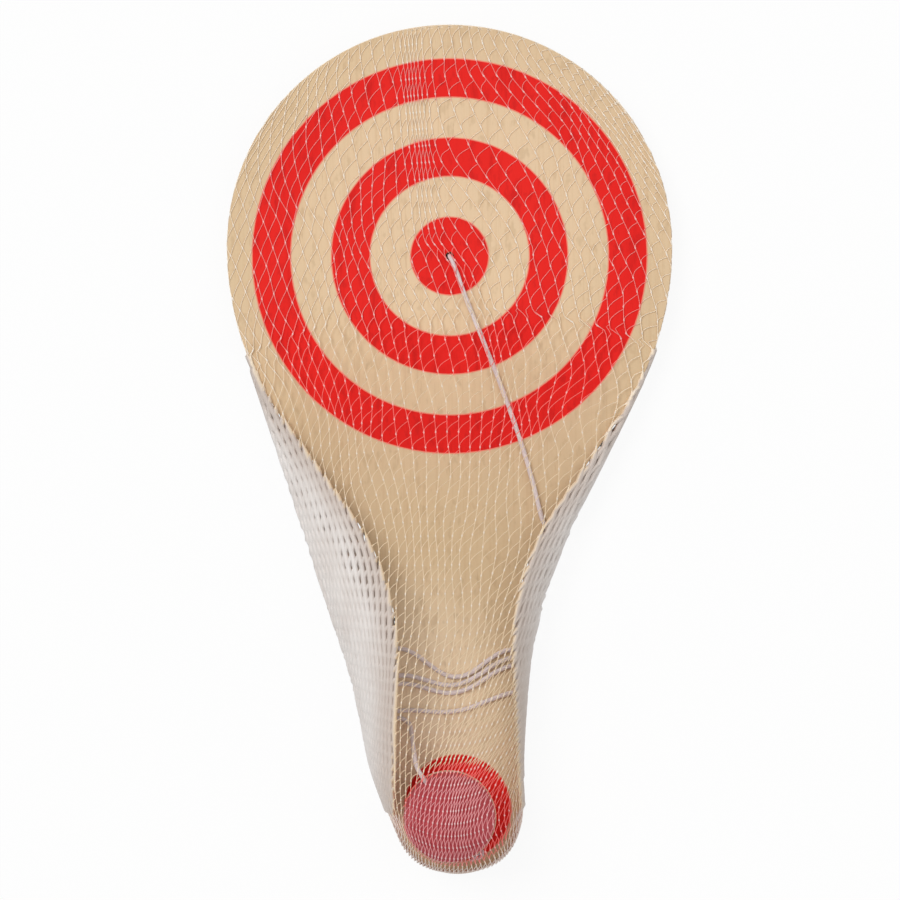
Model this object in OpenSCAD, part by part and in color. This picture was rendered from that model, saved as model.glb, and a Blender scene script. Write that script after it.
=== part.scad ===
// Paddle ball game: a thin plywood paddle with a printed target, a rubber ball on an
// elastic string wound round the neck, and the extruded net sleeve drawn over it all.
// It lies on its back, printed face up, with the head toward +Y. Millimetres.

/* [Board] */
// Diameter of the round head
head_d = 148; // [132:1:160]
// Radius of the cheek arcs that carry the head's sides down to the flanks
cheek_r = 100; // [88:1:112]
// Length of the straight flank between a cheek arc and a shoulder hollow
flank_len = 37; // [25:1:50]
// Width across the neck, the narrowest place
neck_w = 38.4; // [35:0.2:41]
// Radius of the hollow between a flank and the neck
shoulder_r = 80; // [66:1:92]
// From the neck down to the centre of the handle's round end
grip_len = 52.5; // [48:0.5:60]
// Width of the handle at its round end
handle_w = 43; // [41:0.5:47]
// Thickness of the front veneer and of the back veneer
veneer_t = 1.2; // [0.8:0.1:1.6]
// Thickness of the cross-grained core between them
core_t = 2.6; // [1.6:0.1:4]

/* [Printed target] */
// Width of the bare wood above the outer ring
rim_margin = 11; // [6:0.5:16]
// How far the target's centre and its hole lie below the head's centre
target_drop = 3; // [0:0.5:5]
// Diameter of the printed spot on the handle's end
spot_d = 36; // [28:0.5:39]
// Thickness of the printed ink
ink_t = 0.06; // [0.04:0.01:0.2]

/* [Elastic string] */
// Diameter of the string
string_d = 1.5; // [1.3:0.1:1.7]
// Diameter of the hole drilled for the string
hole_d = 2.8; // [2.6:0.1:3.4]
// Gap between the string and the wood that it lies on
string_gap = 0.1; // [0.05:0.05:0.2]
// Length of the neck that the turns cover
wind_len = 23.4; // [22:0.2:25]
// How far above the neck's narrowest place the turns begin
wind_above = 1.1; // [0:0.1:2]
// How far the first turn sags toward the handle's end where it crosses the front
wind_sag = 9.3; // [8.5:0.1:10]
// Radius of the ring that a tied knot winds round
knot_ring_r = 1.7; // [1.6:0.1:2]
// Radius by which the knot's string swings about that ring
knot_swing_r = 0.75; // [0.7:0.05:0.8]
// Diameter of the string where it is drawn tight in a knot
knot_string_d = 1.1; // [0.8:0.1:1.2]

/* [Ball] */
// Diameter of the rubber ball
ball_d = 30; // [27:0.5:32]
// Diameter of the bore that the string runs through
ball_bore_d = 2.1; // [1.9:0.1:2.6]
// How far the ball's centre lies past the centre of the handle's round end
ball_past = 1; // [-2:0.5:3]
// How far the ball lies to the left of the handle's middle
ball_side = 2.6; // [0:0.2:3]
// Direction of the bore's upper mouth, seen from above
bore_turn = 123; // [118:1:128]
// Rise of the bore's upper mouth above level
bore_rise = 16; // [12:1:20]
// Running gap under the ball
ball_gap = 0.3; // [0.2:0.05:0.6]

/* [Net sleeve] */
// Columns of half meshes across each side of the sleeve
net_cols = 14; // [10:2:14]
// Rows of half meshes along each side of the sleeve
net_rows = 18; // [14:2:18]
// Thickness of the net's strands
strand_t = 0.5; // [0.4:0.05:0.6]
// Half width of a fused crossing
cross_w = 0.5; // [0.4:0.05:0.7]
// Half length of a fused crossing
cross_l = 1.1; // [0.8:0.1:1.4]
// Gap that the net keeps from whatever lies under it
net_gap = 0.3; // [0.2:0.05:0.5]
// Allowance at the rim for straight strands round a curved edge
rim_allow = 0.7; // [0.4:0.05:0.8]
// Height of the net over the string on the head, above its rim
loft_h = 2; // [1.8:0.1:3]
// How far to each side of the string the net is held up by it
loft_w = 16.5; // [15:0.5:20]
// Height that the net stands off over the top of the ball
crown_h = 2; // [1.8:0.1:3]
// Where the net starts to rise toward the ball, below the head's centre
rise_start = 20; // [0:1:30]
// Where the right edge of the sleeve leaves the cheek, below the head's centre
right_leave = 62; // [58:1:66]
// Where the right edge of the sleeve joins the handle, above the centre of its round end
join_above = 12; // [8:1:22]
// Angle of the sleeve's upper corners above the head's widest line
top_corner = 38; // [30:1:45]
// Angle of the sleeve's lower corners below the handle end's widest line
toe_corner = 20; // [18:1:30]

/* [Hidden] */

// Smoothness of the large arcs and of the small bores
arc_fn = 240;
bore_fn = 48;
tube_sides = 8;
loop_sides = 6;
knot_rings = 36;
// Overrun of every cut
over = 1;

// The target's bands from the centre out, red and bare by turns
bands = 5;

// Levels, counted up from the surface that the sleeve lies on
head_r = head_d / 2;
toe_r = handle_w / 2;
string_r = string_d / 2;
ball_r = ball_d / 2;
seat_r = string_r + string_gap;
board_t = 2 * veneer_t + core_t;
band_w = (head_r + target_drop - rim_margin) / bands;
knot_h = 2 * knot_swing_r + knot_string_d;
board_z = strand_t + net_gap + knot_h + string_gap;
face_z = board_z + board_t;
mid_z = board_z + board_t / 2;
over_z = face_z + seat_r;
under_z = board_z - seat_r;

// Distances down from the head's centre. The neck lies where the flank's length puts the
// shoulder's centre, square across the line that touches the two arcs.
cheek_shift = cheek_r - head_r;
neck_reach = sqrt(pow(cheek_r + shoulder_r, 2) + pow(flank_len, 2)
    - pow(cheek_shift + neck_w / 2 + shoulder_r, 2));
handle_reach = neck_reach + grip_len;
ball_reach = handle_reach + ball_past;
right_join = handle_reach - join_above;

// The frame: Y zero lies halfway between the top of the head and the handle's end
head_y = (handle_reach + toe_r - head_r) / 2;

// The board's outline: circles, and the lines that all but touch two of them. A line runs
// a hair inside each circle, so that the two cross and join cleanly.
blend_in = 0.04;
cheek_c = [-cheek_shift, 0];
shoulder_c = [neck_w / 2 + shoulder_r, -neck_reach];
toe_c = [0, -handle_reach];
function direction(a) = [cos(a), sin(a)];
function bearing(a, b) = atan2(b.y - a.y, b.x - a.x);
function cross_turn(a, ra, b, rb) = acos((ra + rb) / norm(b - a));
cheek_in = cheek_r - blend_in;
shoulder_in = shoulder_r - blend_in;
toe_in = toe_r - blend_in;
flank_a = bearing(cheek_c, shoulder_c) + cross_turn(cheek_c, cheek_in, shoulder_c, shoulder_in);
grip_a = bearing(toe_c, shoulder_c) - cross_turn(toe_c, toe_in, shoulder_c, shoulder_in);
flank_top = cheek_c + cheek_in * direction(flank_a);
flank_foot = shoulder_c - shoulder_in * direction(flank_a);
grip_top = shoulder_c - shoulder_in * direction(grip_a);
grip_foot = toe_c + toe_in * direction(grip_a);

// Half width of the board at a distance down the neck and the grip
function arc_half(y) = shoulder_c.x - sqrt(pow(shoulder_r, 2) - pow(y - shoulder_c.y, 2));
function grip_half(y) =
    grip_top.x + (grip_foot.x - grip_top.x) * (y - grip_top.y) / (grip_foot.y - grip_top.y);
function neck_half(y) = y > grip_top.y ? arc_half(y) : grip_half(y);

// The ball, its bore and the point where the string goes in
ball_c = [-ball_side, -ball_reach, face_z + ink_t + ball_gap + ball_r];
bore_axis = [cos(bore_rise) * cos(bore_turn), cos(bore_rise) * sin(bore_turn), sin(bore_rise)];
ball_knot_c = ball_c - (ball_r + ball_gap + knot_h / 2) * bore_axis;
back_knot_c = [0, -target_drop, board_z - string_gap - knot_h / 2];

// Small vector helpers and a smooth curve through hand-placed points
function unit(v) = v / norm(v);
function last(list) = list[len(list) - 1];
function curve_at(a, b, c, d, t) =
    (2 * b + t * (c - a) + t * t * (2 * a - 5 * b + 4 * c - d)
    + t * t * t * (3 * b - a - 3 * c + d)) / 2;
function smooth_curve(p, steps) = [
    for (i = [0 : len(p) - 2])
        for (k = [0 : steps - 1])
            curve_at(p[max(i - 1, 0)], p[i], p[i + 1], p[min(i + 2, len(p) - 1)], k / steps),
    last(p)
];

// Tangents along a path, and one side vector per point carried along without twist
function tangent(p, i) = unit(p[min(i + 1, len(p) - 1)] - p[max(i - 1, 0)]);
function square_to(v, t) = unit(v - (v * t) * t);
function side_vectors(p, first) = [
    for (i = 0, n = square_to(first, tangent(p, 0)); i < len(p);
         i = i + 1, n = i < len(p) ? square_to(n, tangent(p, i)) : n) n
];
function ring_points(p, n, t, r, sides) = [
    for (k = [0 : sides - 1])
        p + r * (cos(360 * k / sides) * n + sin(360 * k / sides) * cross(t, n))
];
function quad(a, b, c, d) = [[a, b, c], [a, c, d]];
function flat(lists) = [for (l = lists) for (e = l) e];
function in_plan(v) = [v.x, v.y, 0];

// An open tube with flat ends, swept along a path
module tube(path, d, sides, first) {
    sides_n = side_vectors(path, first);
    rings = len(path);
    points = flat([for (i = [0 : rings - 1])
        ring_points(path[i], sides_n[i], tangent(path, i), d / 2, sides)]);
    skin = flat([for (i = [0 : rings - 2]) for (k = [0 : sides - 1])
        quad(i * sides + k, (i + 1) * sides + k,
             (i + 1) * sides + (k + 1) % sides, i * sides + (k + 1) % sides)]);
    start_cap = [for (k = [1 : sides - 2]) [0, k, k + 1]];
    end_cap = [for (k = [1 : sides - 2])
        [(rings - 1) * sides, (rings - 1) * sides + k + 1, (rings - 1) * sides + k]];
    polyhedron(points = points, faces = concat(skin, start_cap, end_cap), convexity = 10);
}

// A drawn-tight overhand knot: the closed curve that goes twice round a ring
// and swings three times about it, flat side along Z
function knot_at(a) = [
    (knot_ring_r + knot_swing_r * cos(3 * a)) * cos(2 * a),
    (knot_ring_r + knot_swing_r * cos(3 * a)) * sin(2 * a),
    knot_swing_r * sin(3 * a)
];
function knot_out(a) = [cos(3 * a) * cos(2 * a), cos(3 * a) * sin(2 * a), sin(3 * a)];
module tied_knot() {
    step = 360 / knot_rings;
    points = flat([for (i = [0 : knot_rings - 1])
        let (t = unit(knot_at((i + 1) * step) - knot_at((i - 1) * step)))
        ring_points(knot_at(i * step), square_to(knot_out(i * step), t), t,
                    knot_string_d / 2, loop_sides)]);
    skin = flat([for (i = [0 : knot_rings - 1]) for (k = [0 : loop_sides - 1])
        let (j = (i + 1) % knot_rings)
        quad(i * loop_sides + k, j * loop_sides + k,
             j * loop_sides + (k + 1) % loop_sides, i * loop_sides + (k + 1) % loop_sides)]);
    polyhedron(points = points, faces = skin, convexity = 10);
}

// One loop round the neck as steps of [corner side, corner level, angle or crossing share].
// It sets out along the back, rounds the left edge, crosses the front and returns.
corner_steps = 4;
front_steps = 5;
back_steps = 3;
function corner(side, level, start, turn) = [
    for (k = [0 : corner_steps - 1])
        [side, level, start + turn * k / (corner_steps - 1), 0]
];
function crossing(level, from, steps) = [
    for (k = [1 : steps]) [0, level, from, k / (steps + 1)]
];
loop_steps = concat(
    corner(-1, -1, 270, -90), corner(-1, 1, 180, -90), crossing(1, -1, front_steps),
    corner(1, 1, 90, -90), corner(1, -1, 0, -90), crossing(-1, 1, back_steps)
);
// Where the turns round the left and the right edge, as shares of the winding's length, and
// how far each sags, as a share of the first one's sag. They are chosen by hand.
left_shares = [0, 0.393, 0.513, 0.897, 1];
right_shares = [0.043, 0.154, 0.265, 0.65];
sag_shares = [1, 0.645, 0.634, 0.333];
turns = len(right_shares);
function wind_y(share) = wind_above - neck_reach - wind_len * share;
function between(a, b, t) = a + (b - a) * t;
function wind_point(turn, k) =
    let (s = loop_steps[k], left_y = wind_y(left_shares[turn]),
         right_y = wind_y(right_shares[min(turn, turns - 1)]),
         next_y = wind_y(left_shares[min(turn + 1, turns)]),
         y = s[0] < 0 ? left_y : s[0] > 0 ? right_y :
             s[1] > 0 ? between(left_y, right_y, s[3]) : between(right_y, next_y, s[3]),
         h = neck_half(y), level = s[1] > 0 ? face_z : board_z,
         across = (2 * s[3] - 1) * h)
    s[0] != 0
        ? [s[0] * h + seat_r * cos(s[2]), y, level + seat_r * sin(s[2])]
        : s[1] > 0
            ? [across, y - wind_sag * sag_shares[turn] * pow(sin(180 * s[3]), 2), over_z]
            : [-across, y, under_z];
steps_n = len(loop_steps);
edge_n = 2 * corner_steps;
// The turns, then once more round the left edge, with straight ends square to the cord's
wind_core = concat(
    [for (turn = [0 : turns - 1]) for (k = [0 : steps_n - 1]) wind_point(turn, k)],
    [for (k = [0 : edge_n - 1]) wind_point(turns, k)]
);
wind_in = wind_core[0] + [string_d, 0, 0];
wind_out = last(wind_core) + [string_d, 0, 0];
wind_path = concat([wind_in], wind_core, [wind_out]);
// Least gap of the winding to itself, measured over points more than half a loop apart
wind_gap = min([
    for (i = [0 : len(wind_path) - 1])
        for (j = [i + steps_n / 2 : len(wind_path) - 1]) norm(wind_path[i] - wind_path[j])
]) - string_d;
echo(least_gap_of_winding = wind_gap);

// Route of the string from the back knot, up the hole, down the face, round the right
// shoulder and across the back to the neck. X and Y are chosen by hand from the head's
// centre, and the heights are the levels above.
face_route = [
    [0, -target_drop, back_knot_c.z],
    [0, -target_drop, board_z],
    [0, -target_drop, face_z - string_r],
    [0.2, -3.5, face_z + string_r - string_gap],
    [0.9, -5, over_z + string_gap],
    [2.4, -9, over_z],
    [5.2, -17, over_z],
    [11.4, -33, over_z],
    [17, -48, over_z],
    [22.4, -64, over_z],
    [26.4, -78, over_z],
    [29, -89, over_z],
    [30, -92.2, over_z],
    [31.1, -94.1, face_z + string_r],
    [31.5, -95.1, mid_z],
    [30.6, -95.9, board_z - string_r],
    [28.4, -97.4, under_z],
    [20, -104.5, under_z],
    [2, -120, under_z],
    [-8, -130, under_z],
    wind_in + [2 * string_d, 0, 0],
    wind_in + [string_d, 0, 0],
    wind_in
];
face_steps = 2;

// Route of the lead from the last turn up to the ball, through its bore and into the knot
function on_bore(s) = ball_c + s * bore_axis;
lead_route = [
    wind_out,
    wind_out + [string_r, 0, 0],
    wind_out + [string_d, 0, 0],
    wind_out + [3.3, -1.35, 1],
    wind_out + [3.8, -4.75, 5],
    wind_out + [4.5, -9.75, 11.6],
    wind_out + [5.4, -14.35, 17],
    on_bore(ball_r + string_d),
    on_bore(ball_r - string_d),
    on_bore(0),
    on_bore(string_d - ball_r),
    ball_knot_c
];
lead_steps = 2;

// The sleeve's edge, as the half widths to the left and to the right of the middle.
// The left edge is drawn taut from cheek to toe. The right one is drawn in by an arc.
net_off = net_gap + rim_allow + strand_t / 2;
net_rim_h = net_gap + strand_t / 2;
net_head_r = head_r + net_off;
net_cheek_r = cheek_r + net_off;
net_toe_r = toe_r + net_off;
function cheek_half(y) = sqrt(pow(net_cheek_r, 2) - y * y) - cheek_shift;
function round_half(y) = y > 0 ? sqrt(pow(net_head_r, 2) - y * y) : cheek_half(y);
function toe_half(y) = sqrt(max(0, pow(net_toe_r, 2) - pow(y + handle_reach, 2)));
left_cheek_c = [cheek_shift, 0];
taut_a = bearing(left_cheek_c, toe_c) - 90
    + asin((net_cheek_r - net_toe_r) / norm(toe_c - left_cheek_c));
taut_top = left_cheek_c + net_cheek_r * direction(taut_a);
taut_foot = toe_c + net_toe_r * direction(taut_a);
function taut_half(y) =
    -taut_top.x - (taut_foot.x - taut_top.x) * (y - taut_top.y) / (taut_foot.y - taut_top.y);
function left_half(y) =
    y > taut_top.y ? round_half(y) : y > taut_foot.y ? taut_half(y) : toe_half(y);
join_half = neck_half(-right_join) + net_off;
leave_in = cheek_half(-right_leave) - join_half;
draw_r = (pow(leave_in, 2) + pow(right_join - right_leave, 2)) / (2 * leave_in);
function drawn_half(y) = join_half + draw_r - sqrt(pow(draw_r, 2) - pow(y + right_join, 2));
function right_half(y) =
    y > -right_leave ? round_half(y) :
    y > -right_join ? drawn_half(y) :
    y > -handle_reach ? neck_half(max(y, grip_foot.y)) + net_off : toe_half(y);

// The four sides of the sleeve's grid. Rows crowd a little toward the toe.
row_crowd_share = 0.4;
grid_top = net_head_r * sin(top_corner);
grid_foot = -handle_reach - net_toe_r * sin(toe_corner);
function row_y(v) = grid_top + (grid_foot - grid_top) * (v + row_crowd_share * v * (1 - v));
function left_side(v) = [-left_half(row_y(v)), row_y(v)];
function right_side(v) = [right_half(row_y(v)), row_y(v)];
function top_side(u) = net_head_r * direction(180 - top_corner - u * (180 - 2 * top_corner));
function toe_side(u) =
    toe_c + net_toe_r * direction(180 + toe_corner + u * (180 - 2 * toe_corner));
// A point of the grid, blended between its four sides
function grid_at(u, v) =
    (1 - v) * top_side(u) + v * toe_side(u) + (1 - u) * left_side(v) + u * right_side(v)
    - (1 - u) * (1 - v) * top_side(0) - u * (1 - v) * top_side(1)
    - (1 - u) * v * toe_side(0) - u * v * toe_side(1);

// Height of the sleeve's front over its rim: a ridge over the string on the head, and a
// tent that climbs to the ball and falls off past it. It is nothing at every edge.
climb_power = 1.3;
climb_round = 1.2;
toe_power = 6;
side_power = 3.2;
loft_power = 4;
crown_rise = ball_c.z + ball_r + crown_h - face_z - net_rim_h;
toe_end = handle_reach + net_toe_r;
function arch(s, power) = 1 - pow(min(1, abs(s)), power);
function climb(y) = y > -ball_reach
    ? pow(arch((y + ball_reach) / (ball_reach - rise_start), climb_power), climb_round)
    : arch((y + ball_reach) / (toe_end - ball_reach), toe_power);
function loft(y) = arch(y / (y > 0 ? net_head_r : toe_end), loft_power);
// Distance in plan from a point to the string's run down the face
face_line = [for (p = face_route) if (p.z > face_z + string_r / 2) [p.x, p.y]];
function to_line(p, a, b) =
    let (t = min(1, max(0, (p - a) * (b - a) / ((b - a) * (b - a)))))
    norm(p - a - t * (b - a));
function to_string(p) =
    min([for (i = [0 : len(face_line) - 2]) to_line(p, face_line[i], face_line[i + 1])]);
// The ridge stands at its full height over the third of its width next to the string
function ridge(p) = min(1, max(0, 1.5 - 1.5 * to_string(p) / loft_w));
function front_rise(u, v) =
    let (p = grid_at(u, v))
    arch(2 * u - 1, side_power)
        * max(loft_h * loft(p.y) * ridge(p), crown_rise * climb(p.y));

// Grid point of one side, with its height over the fold, where the two sides meet.
// Rows and columns just past the grid lie at the fold itself. The back is flat but for
// its rim.
function in_grid(i, j) = i >= 0 && i <= net_cols && j >= 0 && j <= net_rows;
function clamp_share(k, n) = min(1, max(0, k / n));
fold_h = cross_w + net_gap / 2;
fold_toe_h = cross_l + net_gap / 2;
function net_at(i, j, front) =
    let (u = clamp_share(i, net_cols), v = clamp_share(j, net_rows), p = grid_at(u, v),
         rim = i == 0 || i == net_cols || j == 0 || j == net_rows,
         rim_h = board_t / 2 + net_rim_h)
    [p.x, p.y + head_y,
     i < 0 || i > net_cols ? fold_h :
     j < 0 || j > net_rows ? fold_toe_h :
     front ? rim_h + front_rise(u, v) :
     rim ? rim_h : mid_z - strand_t / 2];
function is_cross(i, j) =
    (i + j + 2) % 2 == 0 && (in_grid(i, j)
        || ((i == -1 || i == net_cols + 1) && j > 0 && j < net_rows)
        || ((j == -1 || j == net_rows + 1) && i > 0 && i < net_cols));
// A strand leaves a crossing only toward another one, and never along the fold
function has_strand(i, j, di, dj) =
    is_cross(i + di, j + dj) && (in_grid(i, j) || in_grid(i + di, j + dj));

// One side of the sleeve as a single solid: a flat diamond of eight corners at each
// crossing, top corners first, and a bar of eight triangles for each strand
module net_side(front) {
    crosses = [for (j = [-1 : net_rows + 1]) for (i = [-1 : net_cols + 1])
        if (is_cross(i, j)) [i, j]];
    wide = net_cols + 3;
    order = [for (j = [-1 : net_rows + 1]) for (i = [-1 : net_cols + 1])
        is_cross(i, j) ? 1 : 0];
    before = [for (k = 0, n = 0; k < len(order); n = n + order[k], k = k + 1) n];
    points = flat([for (c = crosses)
        let (p = net_at(c[0], c[1], front),
             west = net_at(max(c[0] - 1, -1), c[1], front),
             east = net_at(min(c[0] + 1, net_cols + 1), c[1], front),
             north = net_at(c[0], max(c[1] - 1, -1), front),
             south = net_at(c[0], min(c[1] + 1, net_rows + 1), front),
             flat_here = !front && in_grid(c[0] - 1, c[1] - 1) && in_grid(c[0] + 1, c[1] + 1),
             u = flat_here ? unit(in_plan(east - west)) : unit(east - west),
             v = flat_here ? unit(in_plan(south - north)) : unit(south - north),
             n = strand_t / 2 * unit(cross(v, u)),
             e = cross_w * u, s = cross_l * v)
        [p - s + n, p + e + n, p + s + n, p - e + n,
         p - s - n, p + e - n, p + s - n, p - e - n]]);
    // Corners: 0 north, 1 east, 2 south, 3 west on the outer side, and 4 to 7 under them
    faces = flat([for (c = crosses)
        let (i = c[0], j = c[1], k = (j + 1) * wide + i + 1, a = 8 * before[k],
             se = has_strand(i, j, 1, 1) ? 8 * before[k + wide + 1] : 0,
             sw = has_strand(i, j, -1, 1) ? 8 * before[k + wide - 1] : 0)
        concat(
            quad(a, a + 1, a + 2, a + 3),
            quad(a + 4, a + 7, a + 6, a + 5),
            has_strand(i, j, 1, 1)
                ? concat(quad(a + 2, a + 1, se, se + 3), quad(a + 5, a + 6, se + 7, se + 4),
                         quad(a + 1, a + 5, se + 4, se), quad(a + 6, a + 2, se + 3, se + 7))
                : quad(a + 1, a + 5, a + 6, a + 2),
            has_strand(i, j, -1, 1)
                ? concat(quad(a + 3, a + 2, sw + 1, sw), quad(a + 6, a + 7, sw + 4, sw + 5),
                         quad(a + 2, a + 6, sw + 5, sw + 1), quad(a + 7, a + 3, sw, sw + 4))
                : quad(a + 2, a + 6, a + 7, a + 3),
            has_strand(i, j, -1, -1) ? [] : quad(a + 3, a + 7, a + 4, a),
            has_strand(i, j, 1, -1) ? [] : quad(a, a + 4, a + 5, a + 1)
        )]);
    polyhedron(points = points, faces = faces, convexity = 20);
}

// The board's blank, about the head's centre: a round head on two cheek arcs, straight
// flanks into a grip, a round end, and a hollow cut from each shoulder
right_flank = [flank_top, flank_foot, grip_top, grip_foot];
left_flank = [for (k = [3 : -1 : 0]) [-right_flank[k].x, right_flank[k].y]];
module disc(c, r, t) {
    translate([c.x, c.y, 0]) cylinder(r = r, h = t, $fn = arc_fn);
}
module cheeks(t) {
    intersection() {
        disc(cheek_c, cheek_r, t);
        disc(-cheek_c, cheek_r, t);
        translate([-head_d, -head_d, 0]) cube([2 * head_d, head_d, t]);
    }
}
module shoulder_cut(t) {
    translate([0, 0, -over]) disc(shoulder_c, shoulder_r, t + 2 * over);
}
module board_blank(t) {
    difference() {
        union() {
            disc([0, 0], head_r, t);
            cheeks(t);
            linear_extrude(t) polygon(concat([[0, 0]], right_flank, [toe_c], left_flank));
            disc(toe_c, toe_r, t);
        }
        shoulder_cut(t);
        mirror([1, 0, 0]) shoulder_cut(t);
    }
}
module string_hole(t) {
    translate([0, -target_drop, -over]) cylinder(d = hole_d, h = t + 2 * over, $fn = bore_fn);
}
module ply(z, t) {
    translate([0, head_y, z]) difference() {
        board_blank(t);
        string_hole(t);
    }
}
module printed_band(outer, inner) {
    translate([0, head_y - target_drop, face_z]) difference() {
        cylinder(r = outer, h = ink_t, $fn = arc_fn);
        translate([0, 0, -over]) cylinder(r = inner, h = ink_t + 2 * over, $fn = arc_fn);
    }
}

module front_veneer() {
    color("#dcbd93") ply(face_z - veneer_t, veneer_t);
}
module core_ply() {
    color("#c9a677") ply(board_z + veneer_t, core_t);
}
module back_veneer() {
    color("#d8b88e") ply(board_z, veneer_t);
}
module outer_ring_print() {
    color("#e0322d") printed_band(bands * band_w, (bands - 1) * band_w);
}
module middle_ring_print() {
    color("#e0322d") printed_band((bands - 2) * band_w, (bands - 3) * band_w);
}
module bullseye_print() {
    color("#e0322d") printed_band(band_w, hole_d / 2);
}
module handle_spot_print() {
    color("#d8201e") translate([0, head_y - handle_reach, face_z])
        cylinder(d = spot_d, h = ink_t, $fn = arc_fn);
}
module string_face_run() {
    color("#c8bbc3") translate([0, head_y, 0])
        tube(smooth_curve(face_route, face_steps), string_d, tube_sides, [1, 0, 0]);
}
module neck_windings() {
    color("#c8bbc3") translate([0, head_y, 0])
        tube(wind_path, string_d, loop_sides, [0, 0, 1]);
}
module ball_lead() {
    color("#c8bbc3") translate([0, head_y, 0])
        tube(smooth_curve(lead_route, lead_steps), string_d, tube_sides, [0, 0, 1]);
}
module back_knot() {
    color("#c8bbc3") translate([0, head_y, 0] + back_knot_c) tied_knot();
}
module ball_knot() {
    color("#c8bbc3") translate([0, head_y, 0] + ball_knot_c)
        rotate([0, 90 - bore_rise, bore_turn]) tied_knot();
}
module ball() {
    color("#bb4f5c") translate([0, head_y, 0] + ball_c) difference() {
        sphere(r = ball_r, $fn = arc_fn);
        rotate([0, 90 - bore_rise, bore_turn])
            cylinder(d = ball_bore_d, h = ball_d + 2 * over, center = true, $fn = bore_fn);
    }
}
module net_front() {
    color("#f2efec") translate([0, 0, mid_z]) net_side(true);
}
module net_back() {
    color("#eceae6") translate([0, 0, mid_z]) mirror([0, 0, 1]) net_side(false);
}

front_veneer();
core_ply();
back_veneer();
outer_ring_print();
middle_ring_print();
bullseye_print();
handle_spot_print();
string_face_run();
neck_windings();
ball_lead();
back_knot();
ball_knot();
ball();
net_front();
net_back();
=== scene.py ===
"""A paddle ball game in its net sleeve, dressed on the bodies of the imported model.

Everything is in metres in the model's own frame. Shapes are worked out in millimetres about
the head's centre, as in the part's source, and `placed` moves them into the frame.
"""
import math

import bpy
import numpy as np
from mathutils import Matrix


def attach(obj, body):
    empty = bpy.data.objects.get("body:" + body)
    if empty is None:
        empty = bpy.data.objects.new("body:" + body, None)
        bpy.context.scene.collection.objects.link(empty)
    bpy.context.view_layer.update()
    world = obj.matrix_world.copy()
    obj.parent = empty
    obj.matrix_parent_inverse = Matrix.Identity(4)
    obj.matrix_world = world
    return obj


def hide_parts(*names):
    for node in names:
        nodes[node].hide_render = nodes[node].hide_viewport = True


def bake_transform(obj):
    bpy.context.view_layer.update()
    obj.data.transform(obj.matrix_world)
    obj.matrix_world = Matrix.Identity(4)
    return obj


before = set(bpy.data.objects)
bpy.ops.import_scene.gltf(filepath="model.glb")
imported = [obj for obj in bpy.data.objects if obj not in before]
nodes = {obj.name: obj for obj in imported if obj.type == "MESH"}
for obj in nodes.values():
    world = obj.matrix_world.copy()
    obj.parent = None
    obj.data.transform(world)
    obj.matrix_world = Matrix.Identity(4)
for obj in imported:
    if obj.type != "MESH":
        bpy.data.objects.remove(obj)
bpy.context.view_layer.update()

MM = 0.001
HEAD_Y = 67.2569  # the head's centre lies this far above the frame's origin
TOE_Y = -187.014  # the centre of the handle's round end, from the head's
seeded = np.random.default_rng(36)


def placed(points):
    """Millimetres about the head's centre become metres in the model's frame."""
    return (np.asarray(points, float) + (0.0, HEAD_Y, 0.0)) * MM


def unit(vectors):
    """Each vector divided by its own length."""
    return vectors / np.maximum(np.linalg.norm(vectors, axis=-1, keepdims=True), 1e-12)


def smooth(share):
    """An eased step: 3 t^2 - 2 t^3 of the share kept within nought and one."""
    t = np.clip(share, 0, 1)
    return t * t * (3 - 2 * t)


# camera

FACE_Z = 8.5  # the printed face
CAMERA_AIM = (-0.80 * MM, -0.41 * MM)
CAMERA_RISE = 1.1  # metres above the printed face
FRAME_WIDTH = 0.3  # metres of the face across the picture
ROLL = 0.0143  # the camera's turn, as a sine

camera = bpy.data.objects.new("camera", bpy.data.cameras.new("camera"))
bpy.context.scene.collection.objects.link(camera)
camera.data.sensor_width = 36.0
camera.data.lens = 36.0 * CAMERA_RISE / FRAME_WIDTH
camera.location = (*CAMERA_AIM, FACE_Z * MM + CAMERA_RISE)
camera.rotation_euler = (0.0, 0.0, -math.asin(ROLL))
bpy.context.scene.camera = camera
bpy.context.scene.view_settings.view_transform = "Standard"


# mesh makers

def grid_faces(rows, columns, closed_rows=False):
    """Quads of a grid of points numbered row by row, with the corners' own grid places.

    Each row closes on itself, and closed rows also join the last row to the first. The
    second result gives each corner's row and column before the wrap, for a map that
    doesn't turn back at the seam.
    """
    i, j = np.meshgrid(
        np.arange(rows if closed_rows else rows - 1), np.arange(columns), indexing="ij")
    corner_rows = np.stack([i, i, i + 1, i + 1], -1).reshape(-1, 4)
    corner_columns = np.stack([j, j + 1, j + 1, j], -1).reshape(-1, 4)
    quads = (corner_rows % rows) * columns + corner_columns % columns
    return quads, np.stack([corner_rows, corner_columns], -1)


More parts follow.
